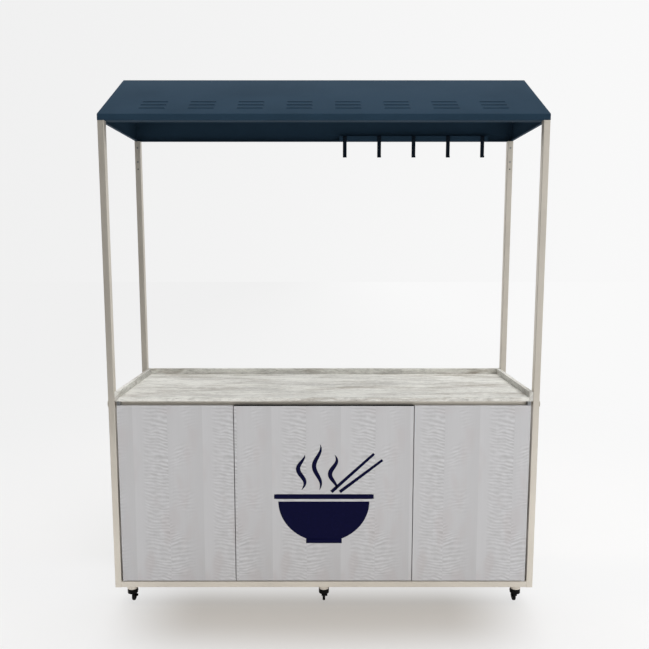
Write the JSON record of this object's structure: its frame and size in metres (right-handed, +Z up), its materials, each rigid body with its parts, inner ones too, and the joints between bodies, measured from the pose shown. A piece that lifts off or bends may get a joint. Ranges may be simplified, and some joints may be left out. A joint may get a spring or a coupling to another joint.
{
  "type": "food cart",
  "caption": "Wheeled food cart with a pitched louvred canopy on four posts, a worktop with upstands, a cupboard with pivoting front doors, utensil hooks and swivel casters.",
  "frame": {"origin": "on the floor under the middle of the cart", "axes": "+X along the serving front to the right as a customer faces it, +Y from the serving front to the back, +Z up"},
  "size_m": [2.0046, 0.6, 2.5498],
  "materials": {
    "frame_paint": "satin beige grey powder coat",
    "canopy_paint": "satin navy powder coat",
    "hook_paint": "near black navy powder coat",
    "laminate_board": "pale grey figured laminate, matt",
    "worktop_board": "pale weathered wood laminate, satin",
    "zinc_steel": "zinc plated",
    "caster_black": "black satin",
    "wheel_rubber": "black matt"
  },
  "bodies": {
    "cart": {"leg_front_left": "frame_paint", "leg_front_right": "frame_paint", "leg_rear_left": "frame_paint", "leg_rear_right": "frame_paint", "post_front_left": "frame_paint", "post_front_right": "frame_paint", "post_rear_left": "frame_paint", "post_rear_right": "frame_paint", "rail_bottom_front": "frame_paint", "rail_bottom_rear": "frame_paint", "rail_top_front": "frame_paint", "rail_top_rear": "frame_paint", "side_rails": "frame_paint", "cross_members": "frame_paint", "spigots": "zinc_steel", "joint_plates": "frame_paint", "frame_screws": "zinc_steel", "base_board": "laminate_board", "partition_left": "laminate_board", "partition_right": "laminate_board", "shelves": "laminate_board", "shelf_pins": "zinc_steel", "side_panel_left": "laminate_board", "side_panel_right": "laminate_board", "centre_panel": "laminate_board", "panel_brackets": "zinc_steel", "door_pivots": "zinc_steel", "door_magnets": "zinc_steel", "worktop": "worktop_board", "upstand_left": "worktop_board", "upstand_right": "worktop_board", "upstand_back": "worktop_board", "canopy_front": "canopy_paint", "canopy_rear": "canopy_paint", "canopy_end_left": "canopy_paint", "canopy_end_right": "canopy_paint", "hook_rail": "canopy_paint", "hooks": "hook_paint", "hook_screws": "hook_paint", "caster_bosses": "frame_paint", "caster_stems": "zinc_steel"},
    "door_left": {"door_left": "laminate_board", "strikes_left": "zinc_steel"},
    "door_right": {"door_right": "laminate_board", "strikes_right": "zinc_steel"},
    "fork_front_left": {"fork_front_left": "caster_black"},
    "wheel_front_left": {"wheel_front_left": "wheel_rubber"},
    "pedal_front_left": {"pedal_front_left": "caster_black"},
    "fork_front_middle": {"fork_front_middle": "caster_black"},
    "wheel_front_middle": {"wheel_front_middle": "wheel_rubber"},
    "pedal_front_middle": {"pedal_front_middle": "caster_black"},
    "fork_front_right": {"fork_front_right": "caster_black"},
    "wheel_front_right": {"wheel_front_right": "wheel_rubber"},
    "pedal_front_right": {"pedal_front_right": "caster_black"},
    "fork_rear_left": {"fork_rear_left": "caster_black"},
    "wheel_rear_left": {"wheel_rear_left": "wheel_rubber"},
    "fork_rear_middle": {"fork_rear_middle": "caster_black"},
    "wheel_rear_middle": {"wheel_rear_middle": "wheel_rubber"},
    "fork_rear_right": {"fork_rear_right": "caster_black"},
    "wheel_rear_right": {"wheel_rear_right": "wheel_rubber"}
  },
  "joints": [
    {"name": "door_left_swing", "type": "hinge", "parent": "cart", "child": "door_left", "pos_m": [-0.953, -0.291, 0.562], "axis": [0, 0, -1], "range_deg": [0, 110]},
    {"name": "door_right_swing", "type": "hinge", "parent": "cart", "child": "door_right", "pos_m": [0.953, -0.291, 0.562], "axis": [0, 0, 1], "range_deg": [0, 110]},
    {"name": "swivel_front_left", "type": "hinge", "parent": "cart", "child": "fork_front_left", "pos_m": [-0.93, -0.255, 0.053], "axis": [0, 0, 1], "continuous": true},
    {"name": "roll_front_left", "type": "hinge", "parent": "fork_front_left", "child": "wheel_front_left", "pos_m": [-0.93, -0.232, 0.025], "axis": [1, 0, 0], "continuous": true},
    {"name": "brake_front_left", "type": "hinge", "parent": "fork_front_left", "child": "pedal_front_left", "pos_m": [-0.93, -0.21695, 0.04908], "axis": [-1, 0, 0], "range_deg": [0, 20]},
    {"name": "swivel_front_middle", "type": "hinge", "parent": "cart", "child": "fork_front_middle", "pos_m": [0, -0.255, 0.053], "axis": [0, 0, 1], "continuous": true},
    {"name": "roll_front_middle", "type": "hinge", "parent": "fork_front_middle", "child": "wheel_front_middle", "pos_m": [0, -0.232, 0.025], "axis": [1, 0, 0], "continuous": true},
    {"name": "brake_front_middle", "type": "hinge", "parent": "fork_front_middle", "child": "pedal_front_middle", "pos_m": [0, -0.21695, 0.04908], "axis": [-1, 0, 0], "range_deg": [0, 20]},
    {"name": "swivel_front_right", "type": "hinge", "parent": "cart", "child": "fork_front_right", "pos_m": [0.93, -0.255, 0.053], "axis": [0, 0, 1], "continuous": true},
    {"name": "roll_front_right", "type": "hinge", "parent": "fork_front_right", "child": "wheel_front_right", "pos_m": [0.93, -0.232, 0.025], "axis": [1, 0, 0], "continuous": true},
    {"name": "brake_front_right", "type": "hinge", "parent": "fork_front_right", "child": "pedal_front_right", "pos_m": [0.93, -0.21695, 0.04908], "axis": [-1, 0, 0], "range_deg": [0, 20]},
    {"name": "swivel_rear_left", "type": "hinge", "parent": "cart", "child": "fork_rear_left", "pos_m": [-0.93, 0.255, 0.053], "axis": [0, 0, 1], "continuous": true},
    {"name": "roll_rear_left", "type": "hinge", "parent": "fork_rear_left", "child": "wheel_rear_left", "pos_m": [-0.92028, 0.23416, 0.025], "axis": [-0.9063, -0.4226, 0], "continuous": true},
    {"name": "swivel_rear_middle", "type": "hinge", "parent": "cart", "child": "fork_rear_middle", "pos_m": [0, 0.255, 0.053], "axis": [0, 0, 1], "continuous": true},
    {"name": "roll_rear_middle", "type": "hinge", "parent": "fork_rear_middle", "child": "wheel_rear_middle", "pos_m": [0, 0.232, 0.025], "axis": [-1, 0, 0], "continuous": true},
    {"name": "swivel_rear_right", "type": "hinge", "parent": "cart", "child": "fork_rear_right", "pos_m": [0.93, 0.255, 0.053], "axis": [0, 0, 1], "continuous": true},
    {"name": "roll_rear_right", "type": "hinge", "parent": "fork_rear_right", "child": "wheel_rear_right", "pos_m": [0.92213, 0.23339, 0.025], "axis": [-0.9397, 0.342, 0], "continuous": true}
  ]
}
